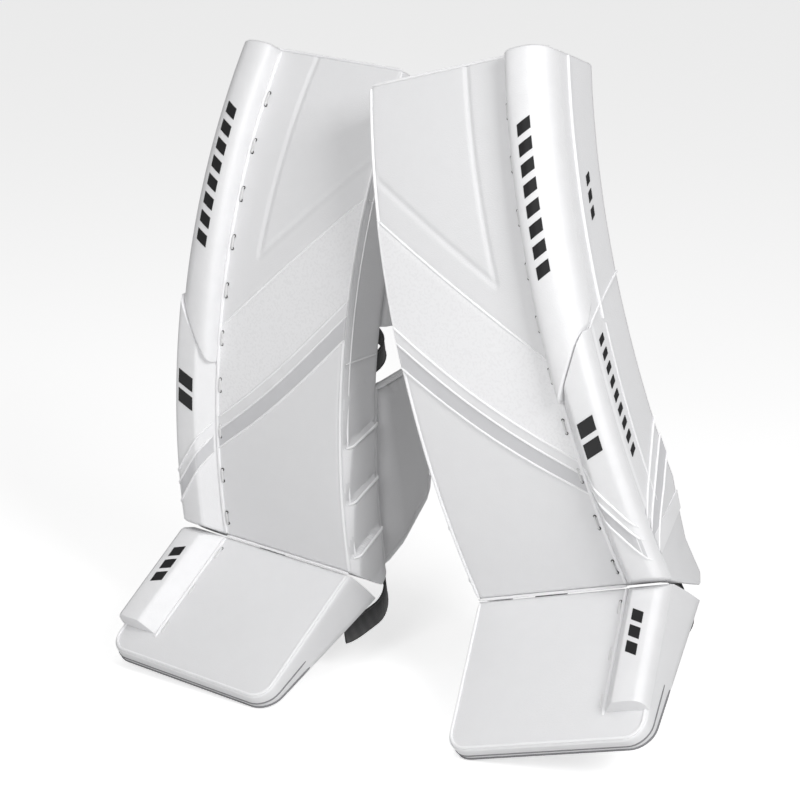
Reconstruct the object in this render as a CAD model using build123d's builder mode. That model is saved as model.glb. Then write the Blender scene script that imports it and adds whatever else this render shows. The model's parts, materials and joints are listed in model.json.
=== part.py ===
"""A pair of ice-hockey goalie leg pads, standing on their toes with their tops leaning together.

Each pad is designed once in its own frame, in millimetres: the origin is the middle of the boot break
on the face skin, +X points to the outer side of the leg, -Y out of the face and +Z up the shin.
Distances along the face are measured from the boot break, heights are measured out of the face skin,
so a point behind the skin has a negative height. The pad for the other leg is the mirror image.
The finished pair has its origin on the floor, under the middle of its bounding box.
"""

import os
from math import cos, radians, sin, tan

from build123d import *

# Size of one pad
PAD_WIDTH = 280
FACE_LENGTH = 686
LOWER_BEND = radians(20)
UPPER_BEND = radians(23)
SIDE_TAPER = 0.0133
PAD_DEPTH = 75
SKIN = 4
GAP = 0.5

# Boot: it leaves the shin at this angle from straight down, and its heel end slopes back
BOOT_ANGLE = radians(66)
BOOT_LENGTH = 216
HEEL_DEPTH = 82
HEEL_SLOPE = 0.22
TOE_DEPTH = 24
TOE_CORNER = 28

# Mitred lower end of the shin, above the heel
SHIN_END_SLOPE = 0.915
SHIN_CORNER_DEPTH = 59
SHIN_BACK_END = -40

# Knee flex line, on the face
KNEE = 297
FLEX_GAP = 1.5
KNEE_WEDGE = 7

# Rolls along the outer edge of the face
ROLL_WIDTH = 60
ROLL_HEIGHT = 26
ROLL_BEVEL = 9
ROLL_END_SLOPE = 0.81
BOOT_ROLL_END = 176

# Lacing along the rolls
LACE_PITCH = 65
LACE_LENGTH = 18
LACE_WIDTH = 4
LACE_THICKNESS = 2
LACE_INSET = 5

# Padded ribs on the inner side of the shin
RIB_COUNT = 3
RIB_FIRST_TOP = 18
RIB_PITCH = 80
RIB_HEIGHT = 52
RIB_SLOPE = 0.39
RIB_THICKNESS = 3
RIB_EDGE = 9

# Leg channel behind the pad
LINING_HALF_WIDTH = 90
LINING_DEPTH = 14
STACK_INNER = 74
STACK_DEPTH = 40
STACK_RANGE = (335, 415)
THIGH_LINING_RANGE = (425, 672)

# Calf wings: plates that start behind the pad, with the plan of their outside as (x, y) corners
WING_CLEARANCE = 4
WING_CORNER = 26
INNER_WING_PLAN = ((133, 0), (133, 130), (112, 228))
INNER_WING_THICKNESS = 16
INNER_WING_RANGE = (-36, 250)
INNER_WING_BACK = (2, 212)
OUTER_WING_PLAN = ((112, 0), (112, 96), (92, 150), (78, 176))
OUTER_WING_THICKNESS = 13
OUTER_WING_RANGE = (-30, 225)
OUTER_WING_BACK = (8, 190)

# Straps and the toe tie
STRAP = 3
CALF_STRAP_HEIGHTS = (95, 145)
KNEE_STRAP_HEIGHTS = (232, 258)
CALF_STRAP_INSIDE = ((113, 96), (93, 150), (79, 176), (46, 216), (0, 233), (-100, 233))
CALF_STRAP_OUTSIDE = ((116, 97), (96, 151), (82, 178), (48, 219), (0, 236), (-100, 236))
KNEE_STRAP_PLAN = (118, 130, 222)
KNEE_STRAP_HALF_WIDTH = 110
BOOT_STRAP_PLAN = (-40, 50, 136)
BOOT_STRAP_HALF_WIDTH = 122
BOOT_STRAP_SHIFT = -12
BOOT_STRAP_UNDERSIDE = ((-15, -99), (60, -107), (136, -60))
BOOT_STRAP_TOP = ((136, -42), (85, -44), (64, -80), (-15, -92))
RING_SIZE = (8, 6, 34)
RING_SLOT = (4.5, 28)
TOE_TIE_ALONG = 150
TOE_BRIDGE_LENGTH = 30
TOE_BRIDGE_WIDTH = 44
TOE_BRIDGE_DEPTH = 14
TOE_CORD_RADIUS = 2.5
TOE_CORD_SIZE = (62, 24)

# Where each pad stands: middle of its boot break, then turns about X, Y and Z
LEFT_PLACE = ((241.9, -4.9, 192.6), (20.14, -14.98, 4.17))
RIGHT_PLACE = ((-241.9, 4.8, 154.2), (13.16, 2.43, -4.03))

HALF_WIDTH = PAD_WIDTH / 2
HALF_FACE = FACE_LENGTH / 2
LOWER_RADIUS = HALF_FACE / LOWER_BEND
UPPER_RADIUS = HALF_FACE / UPPER_BEND
ROLL_EDGE = HALF_WIDTH - ROLL_WIDTH
KNEE_SLOPE = tan(radians(KNEE_WEDGE))
INSIDE = SKIN + GAP
SOLE_SLOPE = (HEEL_DEPTH - TOE_DEPTH) / (BOOT_LENGTH + HEEL_SLOPE * HEEL_DEPTH)
SIDE_PLANE = Plane.YZ.offset(-PAD_WIDTH)
FRONT_PLANE = Plane.XZ.offset(-FACE_LENGTH)
ACROSS = (1, 0, 0)
FORWARD = (0, -1, 0)
UPWARD = (0, 0, 1)
BOOT_PLANE = Plane(origin=(0, 0, 0), x_dir=(1, 0, 0), z_dir=(0, -cos(BOOT_ANGLE), sin(BOOT_ANGLE)))


def face_point(along, height):
    """Point (y, z) of the shin and thigh profile, which bends backwards in two arcs."""
    if along <= HALF_FACE:
        turn = along / LOWER_RADIUS
        y = LOWER_RADIUS * (1 - cos(turn))
        z = LOWER_RADIUS * sin(turn)
    else:
        turn = LOWER_BEND + (along - HALF_FACE) / UPPER_RADIUS
        y = LOWER_RADIUS * (1 - cos(LOWER_BEND)) + UPPER_RADIUS * (cos(LOWER_BEND) - cos(turn))
        z = LOWER_RADIUS * sin(LOWER_BEND) + UPPER_RADIUS * (sin(turn) - sin(LOWER_BEND))
    return (y - height * cos(turn), z + height * sin(turn))


def boot_point(along, height):
    """Point (y, z) of the boot profile, measured down the boot from the break."""
    y = -along * sin(BOOT_ANGLE) - height * cos(BOOT_ANGLE)
    z = -along * cos(BOOT_ANGLE) + height * sin(BOOT_ANGLE)
    return (y, z)


def bent_line(start, end, height):
    """Arcs that follow the face at one height, added to the open BuildLine."""
    stops = [start, end]
    if start < HALF_FACE < end:
        stops = [start, HALF_FACE, end]
    for low, high in zip(stops, stops[1:]):
        middle = face_point((low + high) / 2, height)
        ThreePointArc(face_point(low, height), middle, face_point(high, height))


def slab_profile(start, end, front, back, start_slope=0, end_slope=0):
    """Side view of a layer between two heights; a slope moves its end along the face per unit of depth."""
    low = [start + start_slope * -height for height in (front, back)]
    high = [end + end_slope * -height for height in (front, back)]
    with BuildSketch(SIDE_PLANE) as sketch:
        with BuildLine():
            bent_line(low[0], high[0], front)
            bent_line(low[1], high[1], back)
            Line(face_point(low[0], front), face_point(low[1], back))
            Line(face_point(high[0], front), face_point(high[1], back))
        make_face()
    return sketch.sketch


def shin_profile(front, back, inset=0):
    """Side view of a shin layer that runs down to the mitred end above the heel."""
    high = [KNEE - FLEX_GAP + KNEE_SLOPE * height for height in (front, back)]
    corner = (SHIN_CORNER_DEPTH - inset, -SHIN_END_SLOPE * SHIN_CORNER_DEPTH + FLEX_GAP + 2 * inset)
    back_end = (-back, SHIN_BACK_END + FLEX_GAP + inset)
    with BuildSketch(SIDE_PLANE) as sketch:
        with BuildLine():
            bent_line(0, high[0], front)
            bent_line(0, high[1], back)
            Line(face_point(high[0], front), face_point(high[1], back))
            Polyline(
                face_point(0, front),
                (-front, SHIN_END_SLOPE * front + FLEX_GAP + inset),
                corner,
                back_end,
                face_point(0, back),
            )
        make_face()
    return sketch.sketch


def polygon_profile(points):
    """Side view of a straight-sided piece."""
    with BuildSketch(SIDE_PLANE) as sketch:
        with BuildLine():
            Polyline(*points, close=True)
        make_face()
    return sketch.sketch


def front_outline(inner, outer):
    """Front view between two lines that lean in with the sides of the pad."""
    top = FACE_LENGTH
    lean_in = SIDE_TAPER * top
    inner_top = inner - lean_in if inner > 0 else inner + lean_in
    outer_top = outer - lean_in if outer > 0 else outer + lean_in
    with BuildSketch(FRONT_PLANE) as sketch:
        with BuildLine():
            Polyline(
                (inner, -FACE_LENGTH),
                (outer, -FACE_LENGTH),
                (outer, 0),
                (outer_top, top),
                (inner_top, top),
                (inner, 0),
                close=True,
            )
        make_face()
    return sketch.sketch


def layer(profile, inner, outer):
    """Solid of one side profile between two lines of the front view."""
    with BuildPart() as piece:
        extrude(profile, amount=2 * PAD_WIDTH, dir=ACROSS)
        extrude(front_outline(inner, outer), amount=2 * FACE_LENGTH, dir=FORWARD, mode=Mode.INTERSECT)
    return piece.part


def boot_outline(half_width, length, corner):
    """View down onto the boot face, with its rounded toe corners."""
    with BuildSketch(BOOT_PLANE.offset(-2 * PAD_DEPTH)) as sketch:
        with Locations((0, (PAD_DEPTH - length) / 2)):
            Rectangle(2 * half_width, length + PAD_DEPTH)
        fillet(sketch.vertices().group_by(Axis.Z)[0], corner)
    return sketch.sketch


def boot_block(front, back_heel, back_toe, inset=0):
    """Solid of the boot between two heights; the lower one slopes from the heel to the toe."""
    start = FLEX_GAP + inset
    profile = polygon_profile([
        boot_point(start + HEEL_SLOPE * front, front),
        boot_point(start + HEEL_SLOPE * back_heel, back_heel),
        boot_point(BOOT_LENGTH, back_toe),
        boot_point(BOOT_LENGTH, front),
    ])
    outline = boot_outline(HALF_WIDTH - inset, BOOT_LENGTH - inset, TOE_CORNER - inset)
    with BuildPart() as piece:
        extrude(profile, amount=2 * PAD_WIDTH, dir=ACROSS)
        extrude(outline, amount=4 * PAD_DEPTH, dir=BOOT_PLANE.z_dir, mode=Mode.INTERSECT)
    return piece.part


def casing_of(block, hollow):
    """Open shell left when a hollow is taken out of a block."""
    with BuildPart() as piece:
        add(block)
        add(hollow, mode=Mode.SUBTRACT)
    return piece.part


# Foam cores

def thigh_core():
    profile = slab_profile(
        KNEE + FLEX_GAP, FACE_LENGTH - SKIN, -INSIDE, -PAD_DEPTH + INSIDE, start_slope=KNEE_SLOPE
    )
    return layer(profile, -HALF_WIDTH + INSIDE, HALF_WIDTH - INSIDE)


def shin_core():
    profile = shin_profile(-INSIDE, -PAD_DEPTH + INSIDE, inset=GAP)
    return layer(profile, -HALF_WIDTH + INSIDE, HALF_WIDTH - INSIDE)


def boot_core():
    return boot_block(-INSIDE, -HEEL_DEPTH + INSIDE, -TOE_DEPTH + INSIDE, inset=INSIDE)


# Sewn skins

def thigh_face():
    profile = slab_profile(KNEE + FLEX_GAP, FACE_LENGTH - SKIN, 0, -SKIN, start_slope=KNEE_SLOPE)
    return layer(profile, -HALF_WIDTH, HALF_WIDTH)


def shin_face():
    profile = slab_profile(
        FLEX_GAP, KNEE - FLEX_GAP, 0, -SKIN, start_slope=-SHIN_END_SLOPE, end_slope=-KNEE_SLOPE
    )
    return layer(profile, -HALF_WIDTH, HALF_WIDTH)


def boot_face():
    return boot_block(0, -SKIN, -SKIN)


def thigh_casing():
    start = KNEE + FLEX_GAP
    end = FACE_LENGTH - SKIN
    block = layer(
        slab_profile(start, end, -INSIDE, -PAD_DEPTH, start_slope=KNEE_SLOPE), -HALF_WIDTH, HALF_WIDTH
    )
    hollow = layer(
        slab_profile(start - SKIN, end + SKIN, SKIN, -PAD_DEPTH + SKIN), -HALF_WIDTH + SKIN, HALF_WIDTH - SKIN
    )
    return casing_of(block, hollow)


def shin_casing():
    block = layer(shin_profile(-INSIDE, -PAD_DEPTH), -HALF_WIDTH, HALF_WIDTH)
    hollow = layer(
        slab_profile(-PAD_DEPTH, KNEE + SKIN, SKIN, -PAD_DEPTH + SKIN), -HALF_WIDTH + SKIN, HALF_WIDTH - SKIN
    )
    return casing_of(block, hollow)


def boot_casing():
    block = boot_block(-INSIDE, -HEEL_DEPTH, -TOE_DEPTH)
    hollow = boot_block(SKIN, -HEEL_DEPTH + SKIN, -TOE_DEPTH + SKIN, inset=SKIN)
    return casing_of(block, hollow)


def top_binding():
    profile = slab_profile(FACE_LENGTH - SKIN + GAP, FACE_LENGTH, 0, -PAD_DEPTH)
    return layer(profile, -HALF_WIDTH, HALF_WIDTH)


# Raised outer rolls

def roll_solid(profile):
    """Roll over the outer strip of the face, its long front edges bevelled."""
    with BuildPart() as piece:
        extrude(profile, amount=2 * PAD_WIDTH, dir=ACROSS)
        extrude(
            front_outline(ROLL_EDGE, HALF_WIDTH), amount=2 * FACE_LENGTH, dir=FORWARD, mode=Mode.INTERSECT
        )
        front = piece.faces().sort_by(Axis.Y)[0]
        chamfer(front.edges().sort_by(Axis.X)[0], ROLL_BEVEL)
        front = piece.faces().sort_by(Axis.Y)[0]
        chamfer(front.edges().sort_by(Axis.X)[-1], ROLL_BEVEL)
    return piece.part


def upper_roll():
    return roll_solid(slab_profile(KNEE + FLEX_GAP, FACE_LENGTH - SKIN, ROLL_HEIGHT, GAP))


def lower_roll():
    return roll_solid(
        slab_profile(FLEX_GAP, KNEE - FLEX_GAP, ROLL_HEIGHT, GAP, start_slope=-ROLL_END_SLOPE)
    )


def boot_roll():
    profile = polygon_profile([
        boot_point(FLEX_GAP + ROLL_END_SLOPE * GAP, GAP),
        boot_point(FLEX_GAP + ROLL_END_SLOPE * ROLL_HEIGHT, ROLL_HEIGHT),
        boot_point(BOOT_ROLL_END, ROLL_HEIGHT),
        boot_point(BOOT_ROLL_END, GAP),
    ])
    return roll_solid(profile)


def laces(start, end):
    """Short laces over the edge where the roll meets the face, in pairs of holes."""
    inner = ROLL_EDGE - LACE_INSET - LACE_WIDTH
    count = int((end - start) // LACE_PITCH) + 1
    with BuildPart() as piece:
        for number in range(count):
            low = start + number * LACE_PITCH
            add(layer(slab_profile(low, low + LACE_LENGTH, GAP + LACE_THICKNESS, GAP), inner, inner + LACE_WIDTH))
    return piece.part


def thigh_laces():
    return laces(KNEE + LACE_LENGTH, FACE_LENGTH - 2 * LACE_LENGTH)


def shin_laces():
    return laces(LACE_LENGTH, KNEE - 2 * LACE_LENGTH)


def boot_laces():
    inner = ROLL_EDGE - LACE_INSET - LACE_WIDTH
    with BuildPart() as piece:
        with BuildSketch(BOOT_PLANE.offset(GAP)):
            with Locations(*[
                (inner + LACE_WIDTH / 2, -LACE_LENGTH * 1.5 - number * LACE_PITCH) for number in range(3)
            ]):
                Rectangle(LACE_WIDTH, LACE_LENGTH)
        extrude(amount=LACE_THICKNESS)
    return piece.part


def shin_ribs():
    """Padded ribs that climb from the front of the inner side to its back."""
    outside = HALF_WIDTH + GAP + RIB_THICKNESS
    with BuildPart() as piece:
        for number in range(RIB_COUNT):
            top = RIB_FIRST_TOP + number * RIB_PITCH
            low = top - RIB_HEIGHT
            if number == 0:
                low = top - RIB_HEIGHT / 2
            profile = slab_profile(
                low, top, -RIB_EDGE, -PAD_DEPTH + RIB_EDGE, start_slope=RIB_SLOPE, end_slope=RIB_SLOPE
            )
            add(layer(profile, -outside, -HALF_WIDTH - GAP))
    return piece.part


# Leg channel

def shin_lining():
    profile = slab_profile(12, KNEE - 3 * LINING_DEPTH, -PAD_DEPTH - GAP, -PAD_DEPTH - LINING_DEPTH)
    return layer(profile, -LINING_HALF_WIDTH, LINING_HALF_WIDTH)


def knee_stack():
    low, high = STACK_RANGE
    profile = slab_profile(low, high, -PAD_DEPTH - GAP, -PAD_DEPTH - STACK_DEPTH)
    return layer(profile, -HALF_WIDTH + SKIN, -STACK_INNER)


def thigh_lining():
    low, high = THIGH_LINING_RANGE
    profile = slab_profile(low, high, -PAD_DEPTH - GAP, -PAD_DEPTH - LINING_DEPTH)
    return layer(profile, -LINING_HALF_WIDTH, LINING_HALF_WIDTH)


def wing(plan, thickness, along_range, back_heights):
    """Calf wing: a padded plate that starts behind the pad's side and turns in around the calf."""
    low, high = along_range
    low_back, high_back = back_heights
    front = -PAD_DEPTH - WING_CLEARANCE
    reach = plan[-1][1]
    inside = [(x - thickness, y) for x, y in reversed(plan)]
    with BuildPart() as piece:
        with BuildSketch(SIDE_PLANE) as side:
            with BuildLine():
                bent_line(low, high, front)
                Polyline(face_point(low, front), (reach, low_back), (reach, high_back), face_point(high, front))
            make_face()
            fillet(side.vertices().group_by(Axis.Y)[-1], WING_CORNER)
        extrude(amount=2 * PAD_WIDTH)
        with BuildSketch(Plane.XY.offset(-PAD_WIDTH)):
            with BuildLine():
                Polyline(*plan, *inside, close=True)
            make_face()
        extrude(amount=2 * PAD_WIDTH, mode=Mode.INTERSECT)
    return piece.part


def outer_wing():
    return wing(OUTER_WING_PLAN, OUTER_WING_THICKNESS, OUTER_WING_RANGE, OUTER_WING_BACK)


def inner_wing():
    with BuildPart() as piece:
        mirror(wing(INNER_WING_PLAN, INNER_WING_THICKNESS, INNER_WING_RANGE, INNER_WING_BACK), about=Plane.YZ)
    return piece.part


# Straps

def calf_strap():
    """Strap sewn to the outer wing, which closes behind the calf towards the inner wing."""
    low, high = CALF_STRAP_HEIGHTS
    with BuildPart() as piece:
        with BuildSketch(Plane.XY.offset(low)):
            with BuildLine():
                Polyline(*CALF_STRAP_INSIDE, *reversed(CALF_STRAP_OUTSIDE), close=True)
            make_face()
        extrude(amount=high - low)
    return piece.part


def hoop(plan, half_width, middle=0):
    """Plan view of a strap that runs back from both sides and rounds the back of the leg."""
    start, turn, reach = plan
    with BuildSketch(Plane.XY.offset(-PAD_WIDTH)) as sketch:
        for grow, mode in ((0, Mode.ADD), (STRAP, Mode.SUBTRACT)):
            with Locations((middle, (start + turn) / 2)):
                Rectangle(2 * (half_width - grow), turn - start + 2 * grow, mode=mode)
            with Locations((middle, turn)):
                Ellipse(half_width - grow, reach - turn - grow, mode=mode)
        with Locations((0, start - PAD_WIDTH)):
            Rectangle(2 * PAD_WIDTH, 2 * PAD_WIDTH, mode=Mode.SUBTRACT)
    return sketch.sketch


def knee_strap():
    low, high = KNEE_STRAP_HEIGHTS
    with BuildPart() as piece:
        extrude(hoop(KNEE_STRAP_PLAN, KNEE_STRAP_HALF_WIDTH), amount=2 * PAD_WIDTH, dir=UPWARD)
        with Locations((0, 0, (low + high) / 2)):
            Box(2 * PAD_WIDTH, 2 * PAD_WIDTH, high - low, mode=Mode.INTERSECT)
    return piece.part


def boot_strap():
    """Wide strap that hangs from the heel of the shin, under the boot and round the back of the skate."""
    loop = hoop(BOOT_STRAP_PLAN, BOOT_STRAP_HALF_WIDTH, BOOT_STRAP_SHIFT)
    with BuildPart() as piece:
        with BuildSketch(SIDE_PLANE):
            with BuildLine():
                ThreePointArc(*BOOT_STRAP_UNDERSIDE)
                Polyline(BOOT_STRAP_UNDERSIDE[-1], *BOOT_STRAP_TOP, BOOT_STRAP_UNDERSIDE[0])
            make_face()
        extrude(amount=2 * PAD_WIDTH)
        extrude(loop, amount=2 * PAD_WIDTH, dir=UPWARD, mode=Mode.INTERSECT)
    return piece.part


def strap_rings():
    """Two flat rings that the knee strap runs through."""
    low, high = KNEE_STRAP_HEIGHTS
    slot_width, slot_height = RING_SLOT
    middle = (sum(KNEE_STRAP_PLAN[:2]) / 2, (low + high) / 2)
    sides = (KNEE_STRAP_HALF_WIDTH - STRAP / 2, -KNEE_STRAP_HALF_WIDTH + STRAP / 2)
    with BuildPart() as piece:
        with Locations(*[(x, *middle) for x in sides]):
            Box(*RING_SIZE)
            Box(slot_width, 2 * RING_SIZE[1], slot_height, mode=Mode.SUBTRACT)
    return piece.part


# Toe tie under the boot

def sole_height(along):
    return -TOE_DEPTH - SOLE_SLOPE * (BOOT_LENGTH - along) - GAP


def tie_pivot():
    return boot_point(TOE_TIE_ALONG, sole_height(TOE_TIE_ALONG) - TOE_BRIDGE_DEPTH / 2)


def toe_bridge():
    near = TOE_TIE_ALONG - TOE_BRIDGE_LENGTH / 2
    far = TOE_TIE_ALONG + TOE_BRIDGE_LENGTH / 2
    corners = [
        boot_point(near, sole_height(near)),
        boot_point(far, sole_height(far)),
        boot_point(far, sole_height(far) - TOE_BRIDGE_DEPTH),
        boot_point(near, sole_height(near) - TOE_BRIDGE_DEPTH),
    ]
    with BuildPart() as piece:
        with BuildSketch(Plane.YZ.offset(-TOE_BRIDGE_WIDTH / 2)):
            with BuildLine():
                Polyline(*corners, close=True)
            make_face()
            with Locations(tie_pivot()):
                Circle(TOE_CORD_RADIUS + GAP, mode=Mode.SUBTRACT)
        extrude(amount=TOE_BRIDGE_WIDTH)
    return piece.part


def toe_cord():
    """Elastic loop through the bridge, which ties to the skate's toe."""
    width, drop = TOE_CORD_SIZE
    y, z = tie_pivot()
    hang = Plane(origin=(0, y, z), x_dir=(1, 0, 0), z_dir=(0, sin(BOOT_ANGLE), cos(BOOT_ANGLE)))
    with BuildPart() as piece:
        with BuildLine(hang) as loop:
            corners = [(-width / 2, 0), (width / 2, 0), (width / 2, drop), (-width / 2, drop)]
            FilletPolyline(*corners, radius=3 * TOE_CORD_RADIUS, close=True)
        start = loop.edges().sort_by(Axis.Z)[-1]
        with BuildSketch(Plane(origin=start @ 0.5, z_dir=start % 0.5)):
            Circle(TOE_CORD_RADIUS)
        sweep(path=loop.line)
    return piece.part


PIECES = (
    thigh_core, shin_core, boot_core, thigh_face, shin_face, boot_face, thigh_casing, shin_casing,
    boot_casing, top_binding, upper_roll, lower_roll, boot_roll, thigh_laces, shin_laces, boot_laces,
    shin_ribs, shin_lining, knee_stack, thigh_lining, inner_wing, outer_wing, calf_strap, knee_strap,
    boot_strap, strap_rings, toe_bridge, toe_cord,
)


def placed(shape, place, mirrored):
    """A piece of one pad where the pad stands."""
    position, turns = place
    with BuildPart() as piece:
        with Locations(Location(position, turns, Extrinsic.XYZ)):
            add(mirror(shape, about=Plane.YZ, mode=Mode.PRIVATE) if mirrored else shape)
    return piece.part


def standing_offset(pair):
    """How far to move the pair so that it stands on the floor, centred over the origin."""
    boxes = [part.bounding_box() for part in pair.values()]
    low = [min(tuple(box.min)[axis] for box in boxes) for axis in range(3)]
    high = [max(tuple(box.max)[axis] for box in boxes) for axis in range(3)]
    return (-(low[0] + high[0]) / 2, -(low[1] + high[1]) / 2, -low[2])


def build_pair():
    """Every piece of both pads, by name, where it stands."""
    pair = {}
    for make in PIECES:
        shape = make()
        pair["left_" + make.__name__] = placed(shape, LEFT_PLACE, False)
        pair["right_" + make.__name__] = placed(shape, RIGHT_PLACE, True)
    return pair


if __name__ == "__main__":
    os.makedirs("parts", exist_ok=True)
    pair = build_pair()
    offset = standing_offset(pair)
    print("standing offset", offset)
    for name, shape in pair.items():
        with BuildPart() as standing:
            with Locations(offset):
                add(shape)
        standing.part.label = name
        export_step(standing.part, f"parts/{name}.step")
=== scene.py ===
"""Looks of a pair of white goalie leg pads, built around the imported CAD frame.

Every piece is designed once in a pad's own frame, in millimetres: x points to the outer side of the leg,
-y out of the face, z up the shin from the boot break. Distances along the face are called along,
heights out of the face skin are called height. place_on() carries the points to a pad in metres.
"""

import json
from math import atan2, cos, exp, hypot, pi, radians, sin

import bmesh
import bpy
from mathutils import Matrix, Vector


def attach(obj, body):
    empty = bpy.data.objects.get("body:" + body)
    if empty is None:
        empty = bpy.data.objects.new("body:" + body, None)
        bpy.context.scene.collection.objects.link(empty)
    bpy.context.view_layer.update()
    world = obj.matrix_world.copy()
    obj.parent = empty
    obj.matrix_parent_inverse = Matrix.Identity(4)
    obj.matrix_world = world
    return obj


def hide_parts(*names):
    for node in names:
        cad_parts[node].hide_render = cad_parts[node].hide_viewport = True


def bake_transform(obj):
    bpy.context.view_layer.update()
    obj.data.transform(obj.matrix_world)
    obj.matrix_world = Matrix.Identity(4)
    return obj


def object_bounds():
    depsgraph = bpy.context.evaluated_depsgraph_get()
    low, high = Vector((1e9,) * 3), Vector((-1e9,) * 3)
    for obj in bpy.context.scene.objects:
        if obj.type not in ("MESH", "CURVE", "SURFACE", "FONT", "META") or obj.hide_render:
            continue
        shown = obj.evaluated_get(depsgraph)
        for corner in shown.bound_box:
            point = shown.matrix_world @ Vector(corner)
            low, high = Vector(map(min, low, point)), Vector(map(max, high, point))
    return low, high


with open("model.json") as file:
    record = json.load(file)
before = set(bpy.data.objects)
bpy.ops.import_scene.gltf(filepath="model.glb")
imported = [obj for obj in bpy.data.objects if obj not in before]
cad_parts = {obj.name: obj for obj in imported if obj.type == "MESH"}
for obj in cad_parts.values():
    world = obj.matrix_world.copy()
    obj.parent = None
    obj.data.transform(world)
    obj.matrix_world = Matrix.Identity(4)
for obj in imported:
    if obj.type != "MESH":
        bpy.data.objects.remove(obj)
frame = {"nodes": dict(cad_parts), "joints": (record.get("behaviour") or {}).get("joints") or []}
CAD_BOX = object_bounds()
JOINTS = {joint["name"]: joint for joint in frame["joints"]}

# Shape of one pad, the same as the CAD's
HALF_WIDTH = 140
FACE_LENGTH = 686
HALF_FACE = FACE_LENGTH / 2
LOWER_BEND = radians(20)
UPPER_BEND = radians(23)
LOWER_RADIUS = HALF_FACE / LOWER_BEND
UPPER_RADIUS = HALF_FACE / UPPER_BEND
SIDE_TAPER = 0.0133
PAD_DEPTH = 75
KNEE = 297
BOOT_ANGLE = radians(66)
BOOT_LENGTH = 216
HEEL_DEPTH = 82
HEEL_SLOPE = 0.22
TOE_DEPTH = 24
TOE_CORNER = 28
MITRE_SLOPE = 0.915
MITRE_DEPTH = 59
MITRE_START = 1.5
MITRE_LOWEST = -52.5
MITRE_RETURN = 0.86
ROLL_EDGE = 80
MM = 0.001

# Stretch of the leg, either side of the knee line, from which place_on works out two end points for pieces
# on the leg
KNEE_STRETCH = 36
# Where the boot strap passes from the boot to the shin
HEEL_BLEND = ((0, 10, -90), (0, 90, -70))
# How far the outer side swells outwards and backwards, and where along the leg it has its full swell
SIDE_SWELL_OUT = 9
SIDE_SWELL_BACK = 13
SIDE_SWELL_START = 15
SIDE_SWELL_RISE = 90
SIDE_WALL = 61
# Lacing beside the rolls
LACE_X = ROLL_EDGE - 7
LACE_PITCH = 65
LACE_FIRST = 22
LACE_STITCH = 17
LACE_COUNT = 10
# Straps
KNEE_STRAP_HEIGHT = 245
CALF_STRAP_HEIGHT = 120


# Pad frames and surfaces

def face_point(along, height):
    """(y, z) of the shin and thigh profile."""
    if along <= HALF_FACE:
        turn = along / LOWER_RADIUS
        y = LOWER_RADIUS * (1 - cos(turn))
        z = LOWER_RADIUS * sin(turn)
    else:
        turn = LOWER_BEND + (along - HALF_FACE) / UPPER_RADIUS
        y = LOWER_RADIUS * (1 - cos(LOWER_BEND)) + UPPER_RADIUS * (cos(LOWER_BEND) - cos(turn))
        z = LOWER_RADIUS * sin(LOWER_BEND) + UPPER_RADIUS * (sin(turn) - sin(LOWER_BEND))
    return y - height * cos(turn), z + height * sin(turn)


def leg(x, along, height):
    """Point of the shin or thigh, where the sides lean in a little towards the top."""
    y, z = face_point(along, height)
    return Vector((x * (1 - SIDE_TAPER * max(z, 0) / HALF_WIDTH), y, z))


def boot(x, along, height):
    """Point of the boot, with along measured down the boot from the break."""
    y = -along * sin(BOOT_ANGLE) - height * cos(BOOT_ANGLE)
    z = -along * cos(BOOT_ANGLE) + height * sin(BOOT_ANGLE)
    return Vector((x, y, z))


class Pad:
    """One pad's name, its mirror sign and where it stands, read from its joints."""

    def __init__(self, side, sign):
        self.side = side
        self.sign = sign
        hinge = JOINTS[side + "_boot_flex"]
        origin = Vector(hinge["pos_m"])
        across = Vector(hinge["axis"]).normalized()
        to_knee = (Vector(JOINTS[side + "_knee_flex"]["pos_m"]) - origin).normalized()
        knee_y, knee_z = face_point(KNEE, 0)
        lean = atan2(knee_y, knee_z)
        sideways = across.cross(to_knee)
        up = to_knee * cos(lean) + sideways * sin(lean)
        back = to_knee * sin(lean) - sideways * cos(lean)
        turn = Matrix((across, back, up)).transposed().to_4x4()
        self.matrix = Matrix.Translation(origin) @ turn @ Matrix.Scale(MM, 4)

    def world(self, point):
        x, y, z = point
        return self.matrix @ Vector((x * self.sign, y, z))

    def body(self, name):
        return f"{self.side}_{name}"


PADS = (Pad("left", 1), Pad("right", -1))


# Mesh helpers: shapes are (points, faces) in the pad's frame, in millimetres

def loft(rings):
    """Closed skin over rings of equally many points, capped at both ends."""
    count = len(rings[0])
    points = [point for ring in rings for point in ring]
    faces = []
    for row in range(len(rings) - 1):
        for step in range(count):
            a = row * count + step
            b = row * count + (step + 1) % count
            faces.append((a, b, b + count, a + count))
    faces.append(tuple(reversed(range(count))))
    faces.append(tuple(range(len(points) - count, len(points))))
    return points, faces


def joined(shapes):
    """Several shapes as one."""
    points, faces = [], []
    for shape_points, shape_faces in shapes:
        shift = len(points)
        points += shape_points
        faces += [tuple(index + shift for index in face) for face in shape_faces]
    return points, faces


def smooth_path(corners, steps=8):
    """Catmull-Rom curve through the corners."""
    corners = [Vector(c) for c in corners]
    ends = [2 * corners[0] - corners[1]] + corners + [2 * corners[-1] - corners[-2]]
    path = []
    for p0, p1, p2, p3 in zip(ends, ends[1:], ends[2:], ends[3:]):
        for step in range(steps):
            t = step / steps
            path.append(0.5 * (
                2 * p1 + (p2 - p0) * t + (2 * p0 - 5 * p1 + 4 * p2 - p3) * t * t
                + (3 * p1 - p0 - 3 * p2 + p3) * t * t * t
            ))
    path.append(corners[-1])
    return path


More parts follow.
